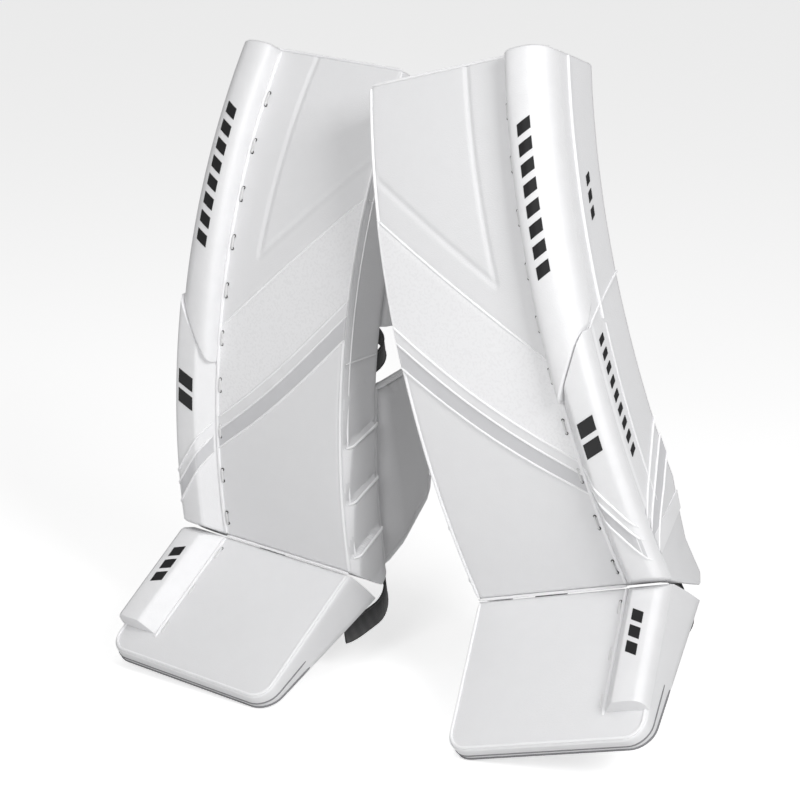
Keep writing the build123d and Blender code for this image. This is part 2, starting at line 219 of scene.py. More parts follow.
def tube(path, radius, sides=8, flatness=1.0, up=None):
    """Round cord along a path, pinched at both ends; flatness under 1 squashes it along up."""
    path = [Vector(p) for p in path]
    rings = []
    last = len(path) - 1
    side = None
    for index, point in enumerate(path):
        ahead = (path[min(index + 1, last)] - path[max(index - 1, 0)]).normalized()
        guide = Vector(up) if up else (side.cross(ahead) if side else ahead.orthogonal())
        side = ahead.cross(guide).normalized()
        rise = side.cross(ahead).normalized()
        grow = 0.6 if index in (0, last) else 1.0
        ring = []
        for step in range(sides):
            angle = 2 * pi * step / sides
            sideways = side * cos(angle) * radius * grow
            upwards = rise * sin(angle) * radius * grow * flatness
            ring.append(point + sideways + upwards)
        rings.append(ring)
    return loft(rings)


def band(path, half_width, thickness):
    """Flat level strap along a path, thinner at its edges."""
    rings = []
    last = len(path) - 1
    wide = Vector((0, 0, 1))
    for index, point in enumerate(path):
        ahead = (path[min(index + 1, last)] - path[max(index - 1, 0)]).normalized()
        out = wide.cross(ahead).normalized()
        ring = []
        for face, offsets in ((1, (-1, -0.94, 0, 0.94, 1)), (-1, (1, 0.94, 0, -0.94, -1))):
            for offset in offsets:
                lift = face * thickness / 2 * (0.5 if abs(offset) == 1 else 1)
                ring.append(point + wide * half_width * offset + out * lift)
        rings.append(ring)
    return loft(rings)


def patch(lines, surface, thickness=1.2, columns=40, rows=10):
    """Thin sewn panel between two lines of a surface; lines(t) gives its two ends at t from 0 to 1."""
    top, bottom = [], []
    for column in range(columns + 1):
        (x0, low), (x1, high) = lines(column / columns)
        for row in range(rows + 1):
            t = row / rows
            x, along = x0 + (x1 - x0) * t, low + (high - low) * t
            top.append(surface(x, along, thickness))
            bottom.append(surface(x, along, -0.6))
    count = len(top)
    faces = []
    for column in range(columns):
        for row in range(rows):
            a = column * (rows + 1) + row
            b = a + rows + 1
            faces.append((a, a + 1, b + 1, b))
            faces.append((a + count, b + count, b + 1 + count, a + 1 + count))
    edge = [column * (rows + 1) for column in range(columns + 1)]
    edge += [columns * (rows + 1) + row for row in range(1, rows + 1)]
    edge += [column * (rows + 1) + rows for column in range(columns - 1, -1, -1)]
    edge += [row for row in range(rows - 1, 0, -1)]
    for a, b in zip(edge, edge[1:] + edge[:1]):
        faces.append((a, b, b + count, a + count))
    return top + bottom, faces


def to_object(name, shape, material, smooth_angle=40):
    """Blender object, still in the pad's own frame, with its normals made consistent."""
    points, faces = shape
    mesh = bpy.data.meshes.new(name)
    mesh.from_pydata([tuple(p) for p in points], [], faces)
    work = bmesh.new()
    work.from_mesh(mesh)
    bmesh.ops.recalc_face_normals(work, faces=work.faces)
    work.to_mesh(mesh)
    work.free()
    thing = bpy.data.objects.new(name, mesh)
    bpy.context.scene.collection.objects.link(thing)
    for item in material if isinstance(material, (list, tuple)) else [material]:
        mesh.materials.append(item)
    mesh.shade_smooth()
    mesh.set_sharp_from_angle(angle=radians(smooth_angle))
    return thing


def place_on(pad, source, name, zone, replaces=(), slot="white_leather"):
    """Copy of a finished piece on one pad, baked in place for the knee or the heel, or riding one body."""
    mesh = source.data.copy()
    mesh.transform(Matrix.Diagonal((pad.sign, 1, 1, 1)))
    mesh.transform(pad.matrix)
    if pad.sign < 0:
        mesh.flip_normals()
    piece = bpy.data.objects.new(f"{pad.side}_{name}", mesh)
    bpy.context.scene.collection.objects.link(piece)
    if zone == "leg":
        start = pad.world(leg(0, KNEE - KNEE_STRETCH, 0))
        end = pad.world(leg(0, KNEE + KNEE_STRETCH, 0))
        pad.body("shin")
        pad.body("thigh")
        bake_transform(piece)
        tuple(start)
        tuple(end)
    elif zone == "heel":
        start, end = (pad.world(point) for point in HEEL_BLEND)
        pad.body("boot")
        pad.body("shin")
        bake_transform(piece)
        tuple(start)
        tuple(end)
    else:
        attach(piece, pad.body(zone))
    if replaces:
        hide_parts(*[pad.body(node) for node in replaces])
    return piece


def piece(name, shape, material, zone, replaces=(), slot="white_leather", smooth_angle=40, finish=None):
    """Builds a piece once and places it on both pads."""
    source = to_object(name + "_source", shape, material, smooth_angle)
    if finish:
        finish(source)
    for pad in PADS:
        place_on(pad, source, name, zone, replaces, slot)
    bpy.data.objects.remove(source)


# Materials

def new_material(name):
    material = bpy.data.materials.new(name)
    material.use_nodes = True
    tree = material.node_tree
    return material, tree.nodes, tree.links, tree.nodes["Principled BSDF"]


def object_coordinates(nodes, links, scale):
    where = nodes.new("ShaderNodeTexCoord")
    mapping = nodes.new("ShaderNodeMapping")
    mapping.inputs["Scale"].default_value = (scale, scale, scale)
    links.new(where.outputs["Object"], mapping.inputs["Vector"])
    return mapping.outputs["Vector"]


def leather(name, colour, roughness, grain=0.22, coat=0.0, mottle=0.03):
    """Synthetic leather: pebbled grain and faint creases in the bump, soft mottling in the colour."""
    material, nodes, links, shader = new_material(name)
    fine = nodes.new("ShaderNodeTexVoronoi")
    fine.inputs["Scale"].default_value = 1.0
    links.new(object_coordinates(nodes, links, 620), fine.inputs["Vector"])
    crease = nodes.new("ShaderNodeTexNoise")
    crease.inputs["Detail"].default_value = 5
    links.new(object_coordinates(nodes, links, 60), crease.inputs["Vector"])
    cloud = nodes.new("ShaderNodeTexNoise")
    cloud.inputs["Detail"].default_value = 3
    links.new(object_coordinates(nodes, links, 9), cloud.inputs["Vector"])

    ramp = nodes.new("ShaderNodeValToRGB")
    ramp.color_ramp.elements[0].position = 0.3
    ramp.color_ramp.elements[1].position = 0.7
    dark = [c * (1 - mottle) for c in colour]
    ramp.color_ramp.elements[0].color = (*dark, 1)
    ramp.color_ramp.elements[1].color = (*colour, 1)
    links.new(cloud.outputs["Fac"], ramp.inputs["Fac"])
    links.new(ramp.outputs["Color"], shader.inputs["Base Color"])

    spread = nodes.new("ShaderNodeMapRange")
    spread.inputs["To Min"].default_value = roughness - 0.06
    spread.inputs["To Max"].default_value = roughness + 0.08
    links.new(crease.outputs["Fac"], spread.inputs["Value"])
    links.new(spread.outputs["Result"], shader.inputs["Roughness"])

    mix = nodes.new("ShaderNodeMath")
    mix.operation = "MULTIPLY_ADD"
    mix.inputs[1].default_value = 0.6
    links.new(crease.outputs["Fac"], mix.inputs[0])
    links.new(fine.outputs["Distance"], mix.inputs[2])
    bump = nodes.new("ShaderNodeBump")
    bump.inputs["Strength"].default_value = grain
    bump.inputs["Distance"].default_value = 0.0006
    links.new(mix.outputs["Value"], bump.inputs["Height"])
    links.new(bump.outputs["Normal"], shader.inputs["Normal"])
    shader.inputs["Coat Weight"].default_value = coat
    shader.inputs["Coat Roughness"].default_value = 0.25
    return material


def woven(name, colour, scale=900, sheen=0.3, contrast=0.5):
    """Woven cloth or webbing: two crossed waves of yarn, in the colour and in the bump."""
    material, nodes, links, shader = new_material(name)
    vector = object_coordinates(nodes, links, scale)
    yarns = []
    for direction in ("X", "Z"):
        wave = nodes.new("ShaderNodeTexWave")
        wave.bands_direction = direction
        wave.inputs["Scale"].default_value = 0.35
        wave.inputs["Distortion"].default_value = 0.6
        links.new(vector, wave.inputs["Vector"])
        yarns.append(wave.outputs["Fac"])
    weave = nodes.new("ShaderNodeMath")
    weave.operation = "MULTIPLY"
    links.new(yarns[0], weave.inputs[0])
    links.new(yarns[1], weave.inputs[1])
    ramp = nodes.new("ShaderNodeValToRGB")
    ramp.color_ramp.elements[0].color = (*[c * (1 - contrast) for c in colour], 1)
    ramp.color_ramp.elements[1].color = (*colour, 1)
    links.new(weave.outputs["Value"], ramp.inputs["Fac"])
    links.new(ramp.outputs["Color"], shader.inputs["Base Color"])
    bump = nodes.new("ShaderNodeBump")
    bump.inputs["Strength"].default_value = 0.4
    bump.inputs["Distance"].default_value = 0.0008
    links.new(weave.outputs["Value"], bump.inputs["Height"])
    links.new(bump.outputs["Normal"], shader.inputs["Normal"])
    shader.inputs["Roughness"].default_value = 0.75
    shader.inputs["Sheen Weight"].default_value = sheen
    return material


def moulded(name, colour, roughness):
    """Moulded plastic with a fine spark-eroded texture."""
    material, nodes, links, shader = new_material(name)
    speck = nodes.new("ShaderNodeTexNoise")
    speck.inputs["Detail"].default_value = 6
    links.new(object_coordinates(nodes, links, 700), speck.inputs["Vector"])
    ramp = nodes.new("ShaderNodeValToRGB")
    ramp.color_ramp.elements[0].color = (*[c * 0.8 for c in colour], 1)
    ramp.color_ramp.elements[1].color = (*colour, 1)
    links.new(speck.outputs["Fac"], ramp.inputs["Fac"])
    links.new(ramp.outputs["Color"], shader.inputs["Base Color"])
    bump = nodes.new("ShaderNodeBump")
    bump.inputs["Strength"].default_value = 0.15
    bump.inputs["Distance"].default_value = 0.0004
    links.new(speck.outputs["Fac"], bump.inputs["Height"])
    links.new(bump.outputs["Normal"], shader.inputs["Normal"])
    shader.inputs["Roughness"].default_value = roughness
    return material


FACE = leather("face_leather", (0.79, 0.79, 0.80), 0.5, mottle=0.012)
# Side leather: the face leather made darker, painted shade on the sides, back, wings and knee stack
SHADED_SIDE_LEATHER = leather("side_leather_painted_shade", (0.72, 0.72, 0.73), 0.55, mottle=0.015)
ROLL = leather("roll_leather", (0.84, 0.84, 0.85), 0.45)
# Gloss panel: the coat is real gloss; the base colour, lighter than the face, is partly painted sheen
GLOSS_AND_PAINTED_SHEEN = leather("gloss_panel_painted_sheen", (0.88, 0.88, 0.89), 0.27, grain=0.02, coat=0.7, mottle=0.006)
PALE = leather("pale_stripe", (0.80, 0.80, 0.81), 0.36, grain=0.1)
GREY = leather("grey_stripe", (0.62, 0.62, 0.635), 0.42, grain=0.1)
PIPING = leather("piping", (0.90, 0.90, 0.91), 0.35, grain=0.08)
BINDING = leather("toe_binding", (0.22, 0.22, 0.23), 0.5)
BLACK = leather("black_marking", (0.012, 0.012, 0.013), 0.4, grain=0.05)
HOLE = moulded("lace_hole", (0.02, 0.02, 0.02), 0.8)
LACE = woven("white_lace", (0.85, 0.85, 0.85), contrast=0.2)
LINER = woven("liner_fabric", (0.07, 0.07, 0.075), scale=500)
WEBBING = woven("black_webbing", (0.022, 0.022, 0.024), scale=700)
PLASTIC = moulded("black_plastic", (0.03, 0.03, 0.032), 0.45)
CORD = woven("black_cord", (0.03, 0.03, 0.03), scale=1400)


# Lines of the face: (x, along) corners from the inner edge to the roll

EMBOSSED_V = [(12, 684), (24, 410), (-HALF_WIDTH, 571)]
CHEVRON = [(-HALF_WIDTH, 515), (78, 305)]
STRIPE_BOW = 10
STRIPE_END = ROLL_EDGE - 1
STRIPES = {"a": (380, 178), "b": (360, 160), "c": (328, 134)}
MEDIAL_SEAMS = (292, 509)


def stripe(name, t):
    """Point (x, along) of a gently bowed stripe line, t from the inner edge to the roll."""
    inner, outer = STRIPES[name]
    x = -HALF_WIDTH + (STRIPE_END + HALF_WIDTH) * t
    return x, inner + (outer - inner) * t - STRIPE_BOW * sin(pi * t)


def chevron(t):
    (x0, high), (x1, low) = CHEVRON
    return x0 + (x1 - x0) * t, high + (low - high) * t


def distance_to_line(x, along, corners):
    """Shortest distance from a point of the face to a polyline."""
    best = 1e9
    for (x0, a0), (x1, a1) in zip(corners, corners[1:]):
        dx, da = x1 - x0, a1 - a0
        t = ((x - x0) * dx + (along - a0) * da) / (dx * dx + da * da)
        t = min(1, max(0, t))
        best = min(best, hypot(x - x0 - t * dx, along - a0 - t * da))
    return best


def bell(distance, width):
    return exp(-(distance / width) ** 2)


def face_relief(x, along):
    """How far the face skin swells or dips: pressed V line, seams, and the soft crown of the foam."""
    relief = -1.8 * bell(distance_to_line(x, along, EMBOSSED_V), 3.2)
    relief -= 0.9 * bell(distance_to_line(x, along, CHEVRON), 3)
    if 0 < along < FACE_LENGTH:
        relief += 1.2 * (1 - (x / HALF_WIDTH) ** 4) * (1 - (2 * along / FACE_LENGTH - 1) ** 6)
    return relief


def on_face(x, along, lift):
    return leg(x, along, face_relief(x, along) + lift)


RIB_SLOPE = 0.39
RIB_PITCH = 80
RIB_TOP = 178
RIB_SWELL = 11


def medial_relief(along, depth):
    """Swell of the inner side: sawtooth padded ribs on the shin, sewn seams above."""
    relief = -1.6 * sum(bell(along - seam - 0.12 * depth, 2.4) for seam in MEDIAL_SEAMS)
    edge = min(1, max(0, (depth - 5) / 9)) * min(1, max(0, (PAD_DEPTH - 4 - depth) / 7))
    relief += 1.5 * edge
    climb = RIB_TOP - (along - RIB_SLOPE * depth)
    if -70 < climb < RIB_TOP + 45:
        part = (climb / RIB_PITCH) % 1
        swell = (1 - part) ** 0.8 if part > 0.05 else part / 0.05
        if climb < 0:
            swell *= 0.45
        relief += edge * RIB_SWELL * (swell - 0.25)
    return relief


# Body of the pad

CORNER = 7


def mitre(depth):
    """Where the lower end of the leg lies along the face, at a depth behind the skin."""
    if depth <= MITRE_DEPTH:
        return MITRE_START - MITRE_SLOPE * depth
    return MITRE_LOWEST + (depth - MITRE_DEPTH) * MITRE_RETURN


def body_section(inset):
    """Ring of (x, depth, kind) round the pad: face, outer side, back, inner side."""
    wide, shallow, deep = HALF_WIDTH - inset, inset, PAD_DEPTH - inset
    flat = wide - CORNER
    ring = []
    for step in range(95):
        ring.append((-flat + 2 * flat * step / 94, shallow, "face"))
    for step in range(1, 5):
        angle = pi / 2 * step / 5
        ring.append((flat + CORNER * sin(angle), shallow + CORNER * (1 - cos(angle)), "edge"))
    for step in range(21):
        ring.append((wide, shallow + CORNER + (deep - shallow - 2 * CORNER) * step / 20, "outer"))
    for step in range(1, 5):
        angle = pi / 2 * step / 5
        ring.append((flat + CORNER * cos(angle), deep - CORNER + CORNER * sin(angle), "edge"))
    for step in range(21):
        ring.append((flat - 2 * flat * step / 20, deep, "back"))
    for step in range(1, 5):
        angle = pi / 2 * step / 5
        ring.append((-flat - CORNER * sin(angle), deep - CORNER + CORNER * cos(angle), "edge"))
    for step in range(21):
        ring.append((-wide, deep - CORNER - (deep - shallow - 2 * CORNER) * step / 20, "inner"))
    for step in range(1, 5):
        angle = pi / 2 * step / 5
        ring.append((-flat - CORNER * cos(angle), shallow + CORNER * (1 - sin(angle)), "edge"))
    return ring


def flare(along, depth):
    """Outward and backward swell of the outer side, none at the mitred lower end."""
    grow = min(1, max(0, (along - SIDE_SWELL_START) / SIDE_SWELL_RISE))
    outwards = SIDE_SWELL_OUT * grow * depth / PAD_DEPTH
    backwards = SIDE_SWELL_BACK * grow * max(0, depth - 20) / (PAD_DEPTH - 20)
    return outwards, backwards


def wall_bow(depth):
    """Slight bow of the outer side wall between its corners."""
    return sin(pi * min(1, max(0, depth - CORNER) / SIDE_WALL))


def outer_point(depth, along, lift):
    """Point of the outer side wall."""
    out, back = flare(along, depth)
    return leg(HALF_WIDTH + out + lift + wall_bow(depth), along, -depth - back)


def pad_body():
    rows = 226
    ends = [(0, 3.5), (0.0016, 1.2)]
    middle = [((row + 1) / (rows + 1), 0) for row in range(rows)]
    rings = []
    for t, inset in ends + middle + [(1 - 0.0016, 1.2), (1, 3.5)]:
        ring = []
        for x, depth, kind in body_section(inset):
            low = mitre(depth)
            along = low + (FACE_LENGTH - low) * t
            height = -depth
            if kind == "face":
                height += face_relief(x, along)
            if kind == "inner":
                x -= medial_relief(along, depth)
            if kind == "outer":
                x += wall_bow(depth)
            if x > HALF_WIDTH - 24 and depth > CORNER:
                share = min(1, (x - HALF_WIDTH + 24) / 14)
                out, behind = flare(along, depth)
                x += out * share
                height -= behind * share
            if kind == "back":
                height -= 1.5 * (1 - (x / HALF_WIDTH) ** 2)
            ring.append(leg(x, along, height))
        rings.append(ring)
    return loft(rings)


def paint_side_shade(source):
    """Side leather, the darker copy of the face leather, on every face that does not look forwards: painted
    shade.
    """
    for polygon in source.data.polygons:
        if polygon.normal.y > -0.35:
            polygon.material_index = 1


# Boot

def sole(along):
    """Height of the boot's underside."""
    slope = (HEEL_DEPTH - TOE_DEPTH) / (BOOT_LENGTH + HEEL_SLOPE * HEEL_DEPTH)
    return -TOE_DEPTH - slope * (BOOT_LENGTH - along)


def boot_outline(inset):
    """Plan of the boot, from the inner heel round the toe to the outer heel."""
    wide, long, corner = HALF_WIDTH - inset, BOOT_LENGTH - inset, max(TOE_CORNER - inset, 4)
    start = 1.5 + inset
    points = [(-wide, start + (long - corner - start) * step / 16) for step in range(17)]
    for step in range(1, 9):
        angle = pi / 2 * step / 8
        points.append((-wide + corner * (1 - cos(angle)), long - corner + corner * sin(angle)))
    for step in range(1, 17):
        points.append((-wide + corner + 2 * (wide - corner) * step / 16, long))
    for step in range(1, 9):
        angle = pi / 2 * step / 8
        points.append((wide - corner * (1 - sin(angle)), long - corner + corner * cos(angle)))
    for step in range(1, 17):
        points.append((wide, long - corner + (start - long + corner) * step / 16))
    for step in range(1, 20):
        points.append((wide - 2 * wide * step / 20, start))
    return points


def boot_level(inset, share, lift=0.0):
    """Ring round the boot at a share of its depth, from 0 on the face to 1 on the sole."""
    ring = []
    for x, along in boot_outline(inset):
        height = sole(along) * share + lift
        slant = HEEL_SLOPE * height * (1 - along / BOOT_LENGTH)
        ring.append(boot(x, along + slant, height))
    return ring


def boot_body():
    levels = [boot_level(60, 1.0, 0.6), boot_level(25, 1.0, 0.4), boot_level(7, 1.0), boot_level(2, 0.985)]
    levels += [boot_level(-0.8 * sin(pi * share), share) for share in (0.95, 0.8, 0.6, 0.4, 0.25, 0.12)]
    levels += [boot_level(0, 0.06), boot_level(1.5, 0.015), boot_level(5, 0), boot_level(9, -0.002, 0.3)]
    levels += [boot_level(inset, 0, lift) for inset, lift in ((20, 0.9), (40, 1.5), (65, 2.0), (90, 2.3))]
    return loft(levels)


# Rolls: sections as (x, height)

UPPER_SECTION = [
    (80.5, 0.5), (80.6, 8), (81.6, 16), (86, 22.5), (95, 25.6), (108, 26.2), (121, 24.6),
    (131.5, 19.5), (138.6, 11), (141.8, 0), (142.6, -14), (141.6, -29),
]
LOWER_SECTION = [
    (80.5, 0.6), (84, 5), (96, 19), (99.5, 22.8), (105, 24.6), (128, 25), (135, 23.2),
    (140, 17.5), (141.8, 9), (142, 0.6),
]


def roll_ring(section, place, start_of, end_of, t):
    outside = smooth_path([(x, height, 0) for x, height in section], 4)
    inside = [(139.6, section[-1][1], 0), (139.6, 0.3, 0), (110, 0.3, 0), (81, 0.3, 0)]
    if section[-1][1] > 0:
        inside = inside[1:]
    ring = []
    for x, height, _ in outside + [Vector(p) for p in inside]:
        low, high = start_of(x, height), end_of(x, height)
        ring.append(place(x, low + (high - low) * t, height))
    return ring


def shrunk(section, share):
    """Section pulled in towards its middle, for the rounded end of a roll."""
    middle_x = 112
    ring = []
    for x, height in section:
        ring.append((middle_x + (x - middle_x) * share, height * share if height > 0 else height))
    return ring


def roll(section, place, start_of, end_of, rows=120):
    rings = []
    stops = [(0, 0.9), (0.004, 0.965)] + [((row + 1) / (rows + 1), 1) for row in range(rows)]
    stops += [(0.996, 0.965), (1, 0.9)]
    for t, share in stops:
        rings.append(roll_ring(shrunk(section, share), place, start_of, end_of, t))
    return loft(rings)


def v_seam(x, height):
    """Diagonal seam between the upper and the lower roll."""
    across = min(1, max(0, (x - ROLL_EDGE) / 60))
    return 253 + 91 * across + (1.4 * -height if height < 0 else 0)


def break_gap(x, height):
    return 2.5 + 0.81 * height


# Soft pieces: swelled by cloth simulation

def swell(source, voxel=5.0, pressure=4.0, limit=6.0, frames=20):
    """Fills a soft piece like a cushion. The piece is in millimetres, so it is simulated in metres."""
    source.data.transform(Matrix.Scale(MM, 4))
    bpy.context.view_layer.objects.active = source
    remesh = source.modifiers.new("remesh", "REMESH")
    remesh.mode = "VOXEL"
    remesh.voxel_size = voxel * MM
    bpy.ops.object.select_all(action="DESELECT")
    source.select_set(True)
    bpy.ops.object.modifier_apply(modifier="remesh")
    before = [v.co.copy() for v in source.data.vertices]
    cloth = source.modifiers.new("cloth", "CLOTH")
    cloth.settings.use_pressure = True
    cloth.settings.uniform_pressure_force = pressure
    cloth.settings.effector_weights.gravity = 0
    cloth.settings.tension_stiffness = 25
    cloth.settings.compression_stiffness = 25
    cloth.settings.bending_stiffness = 2
    cloth.point_cache.frame_end = frames
    scene = bpy.context.scene
    for number in range(1, frames + 1):
        scene.frame_set(number)
    bpy.ops.object.modifier_apply(modifier="cloth")
    for vertex, start in zip(source.data.vertices, before):
        move = vertex.co - start
        if move.length > limit * MM:
            vertex.co = start + move.normalized() * limit * MM
    scene.frame_set(1)
    subdivide = source.modifiers.new("subdivide", "SUBSURF")
    subdivide.levels = 1
    bpy.ops.object.modifier_apply(modifier="subdivide")
    source.data.transform(Matrix.Scale(1 / MM, 4))
    source.data.shade_smooth()


def cushion(columns, rows, outline, thickness, edge=0.35):
    """Crowned closed pad over a sheet: outline(u, v) gives a point and its outward normal."""
    top, bottom = [], []
    for row in range(rows + 1):
        for column in range(columns + 1):
            u, v = column / columns, row / rows
            point, normal = outline(u, v)
            rim = min(1, 6 * min(u, 1 - u)) * min(1, 6 * min(v, 1 - v))
            half = thickness / 2 * (edge + (1 - edge) * rim ** 0.5)
            top.append(point + normal * half)
            bottom.append(point - normal * half)
    count = len(top)
    faces = []
    width = columns + 1
    for row in range(rows):
        for column in range(columns):
            a = row * width + column
            faces.append((a, a + 1, a + 1 + width, a + width))
            faces.append((a + count, a + width + count, a + 1 + width + count, a + 1 + count))
    edge_loop = list(range(width))
    edge_loop += [row * width + columns for row in range(1, rows + 1)]
    edge_loop += [rows * width + column for column in range(columns - 1, -1, -1)]
    edge_loop += [row * width for row in range(rows - 1, 0, -1)]
    for a, b in zip(edge_loop, edge_loop[1:] + edge_loop[:1]):
        faces.append((a, b, b + count, a + count))
    return top + bottom, faces


WING_FRONT = PAD_DEPTH + 8


def along_plan(plan, y):
    """x of a plan line at a given y."""
    for (x0, y0), (x1, y1) in zip(plan, plan[1:]):
        if y <= y1:
            return x0 + (x1 - x0) * max(0, y - y0) / (y1 - y0)
    return plan[-1][0]


def wing_sheet(side, plan, heights, back_heights):
    """Sheet of a calf wing; v climbs the pad, u runs back round the calf."""
    low, high = heights
    low_back, high_back = back_heights
    reach = plan[-1][1]

    def sheet(u, v):
        front_y, front_z = face_point(low + (high - low) * v, -WING_FRONT)
        back_y = reach - 24 * (1 - min(1, 4.5 * min(v, 1 - v)) ** 0.5)
        back_z = low_back + (high_back - low_back) * v
        y = front_y + (back_y - front_y) * u
        z = front_z + (back_z - front_z) * u
        x = along_plan(plan, y)
        slope = (along_plan(plan, y - 3) - along_plan(plan, y + 3)) / 6
        return Vector((x * side, y, z)), Vector((side, slope, 0)).normalized()
    return sheet


WINGS = {
    "inner_wing": wing_sheet(-1, ((125, 0), (125, 125), (104, 226)), (-34, 248), (6, 208)),
    "outer_wing": wing_sheet(1, ((105.5, 0), (105.5, 92), (85.5, 149), (72, 174)), (-28, 222), (12, 186)),
}


def wing_rim(sheet):
    """Padded binding along the wing's edge."""
    edge = [(0, v / 20) for v in range(20)] + [(u / 12, 1) for u in range(12)]
    edge += [(1, 1 - v / 20) for v in range(20)] + [(1 - u / 12, 0) for u in range(12)]
    path = [sheet(u, v)[0] for u, v in edge]
    return tube(path + path[:1], 4.6)


def back_sheet(x_half, low, high, depth):
    def sheet(u, v):
        along = low + (high - low) * v
        here = leg((2 * u - 1) * x_half, along, -depth)
        ahead = leg((2 * u - 1) * x_half, along + 1, -depth) - here
        return here, ahead.cross(Vector((1, 0, 0))).normalized() * -1
    return sheet


def knee_block():
    def sheet(u, v):
        along = 337 + 76 * v
        here = leg(-137 + 62 * u, along, -PAD_DEPTH - 20)
        ahead = leg(0, along + 1, -PAD_DEPTH - 20) - leg(0, along, -PAD_DEPTH - 20)
        return here, ahead.cross(Vector((1, 0, 0))).normalized() * -1
    return cushion(16, 18, sheet, 37, edge=0.8)


# Straps

def hoop_path(half_width, start, turn, reach, height_of, middle=0):
    """Path of a strap back from one side, round the leg and forward on the other side."""
    path = []
    for step in range(6):
        y = start + (turn - start) * step / 6
        path.append(Vector((middle + half_width, y, height_of(y))))
    for step in range(33):
        angle = pi * step / 32
        y = turn + (reach - turn) * sin(angle)
        path.append(Vector((middle + half_width * cos(angle), y, height_of(y))))
    for step in range(1, 7):
        y = turn + (start - turn) * step / 6
        path.append(Vector((middle - half_width, y, height_of(y))))
    return path


def bound(path, half_width, thickness):
    """Strap with a raised binding cord along both edges."""
    shapes = [band(path, half_width, thickness)]
    for offset in (-1, 1):
        edge = [point + Vector((0, 0, offset * half_width)) for point in path]
        shapes.append(tube(edge, 1.7, up=(0, 0, 1)))
    return joined(shapes)


def knee_strap():
    return bound(hoop_path(108.5, 112, 130, 220.5, lambda y: KNEE_STRAP_HEIGHT), 12, 2.2)


def boot_strap_middle(y):
    """Height of the middle of the boot strap: it dips under the heel and climbs behind it."""
    return -90 + 44 * (max(0, y - 45) / 91) ** 2 + 4 * (max(0, 20 - y) / 35) ** 2


def boot_strap():
    return bound(hoop_path(120.5, -18, 50, 134.5, boot_strap_middle, middle=-12), 15, 2.8)


def calf_strap():
    wing_part = [(114.5, 98), (94.8, 151.5), (80.5, 178)]
    behind = [(47, 217.5), (22, 229), (0, 234.5), (-50, 235), (-100, 235)]
    return bound(smooth_path([(x, y, CALF_STRAP_HEIGHT) for x, y in wing_part + behind], 5), 24, 2.2)


# Lacing

def lace_sites(count):
    """Starts of the lace stitches, measured from the break."""
    return [LACE_FIRST + LACE_PITCH * number for number in range(count)]


def stitch(place, along):
    """Lace that comes up out of one hole and goes down the next."""
    corners = [(along - 0.5, 0.4), (along + 2, 1.9), (along + 15, 1.9), (along + 17.5, 0.4)]
    return tube(smooth_path([place(LACE_X, *corner) for corner in corners], 4), 1.3)


def hole(place, along):
    rings = []
    for radius, height in ((2.3, 0.1), (2.3, 1.0), (1.7, 1.4), (1.2, 0.9), (0.5, 0.8)):
        ring = []
        for step in range(10):
            angle = pi * step / 5
            ring.append(place(LACE_X + radius * cos(angle), along + radius * sin(angle), height))
        rings.append(ring)
    return loft(rings)


def build_body():
    # The sides and back of the skin get the darker side leather: painted shade
    piece(
        "pad_skin", pad_body(), (FACE, SHADED_SIDE_LEATHER), "leg", smooth_angle=50, finish=paint_side_shade,
        replaces=("thigh_core", "shin_core", "thigh_face", "shin_face", "thigh_casing", "shin_casing",
                  "top_binding", "shin_ribs"),
    )
    piece(
        "boot_skin", boot_body(), FACE, "boot", smooth_angle=50,
        replaces=("boot_core", "boot_face", "boot_casing"),
    )
    piece(
        "upper_roll_skin", roll(UPPER_SECTION, leg, v_seam, lambda x, h: FACE_LENGTH - 1), ROLL, "leg",
        replaces=("upper_roll",), slot="roll_leather", smooth_angle=60,
    )
    piece(
        "lower_roll_skin", roll(LOWER_SECTION, leg, break_gap, lambda x, h: v_seam(x, h) - 2.2), ROLL, "leg",
        replaces=("lower_roll",), slot="roll_leather", smooth_angle=35,
    )
    piece(
        "boot_roll_skin", roll(LOWER_SECTION, boot, break_gap, lambda x, h: 176, rows=40), ROLL, "boot",
        replaces=("boot_roll",), slot="roll_leather", smooth_angle=35,
    )


def build_face_panels():
    panel = patch(lambda t: (stripe("a", t), chevron(t)), on_face, 0.7, 60, 24)
    # The chevron panel's lighter colour is partly painted sheen on top of its real gloss coat
    piece("chevron_panel", panel, GLOSS_AND_PAINTED_SHEEN, "leg")
    panel = patch(lambda t: (stripe("b", t), stripe("a", t)), on_face, 1.3, 60, 4)
    piece("pale_stripe", panel, PALE, "leg")
    panel = patch(lambda t: (stripe("c", t), stripe("b", t)), on_face, 0.9, 60, 6)
    piece("grey_stripe", panel, GREY, "leg")
    lines = [[on_face(*chevron(t / 40), 0.7) for t in range(41)]]
    for name in STRIPES:
        lines.append([on_face(*stripe(name, t / 40), 1.0) for t in range(41)])
    piece("face_piping", joined([tube(line, 1.5) for line in lines]), PIPING, "leg")
    edge = [leg(-HALF_WIDTH + 1.8, 4 + (FACE_LENGTH - 8) * t / 120, -1.2) for t in range(121)]
    welt = [leg(ROLL_EDGE - 1.5, 6 + (FACE_LENGTH - 10) * t / 120, 1.4) for t in range(121)]
    side = [outer_point(30, 346 + (FACE_LENGTH - 350) * t / 90, 0.8) for t in range(91)]
    piece("edge_piping", joined([tube(edge, 2.2), tube(welt, 2.4), tube(side, 1.8)]), PIPING, "leg")
    top = [leg(x, FACE_LENGTH + 0.2, -1.6) for x in range(-136, 138, 8)]
    piece("top_piping", tube(top, 2.0), PIPING, "thigh")
    crease = [boot(-138 + 216 * t / 30, 0.8, 1.5) for t in range(31)]
    piece("break_piping", tube(crease, 2.0), PIPING, "shin")


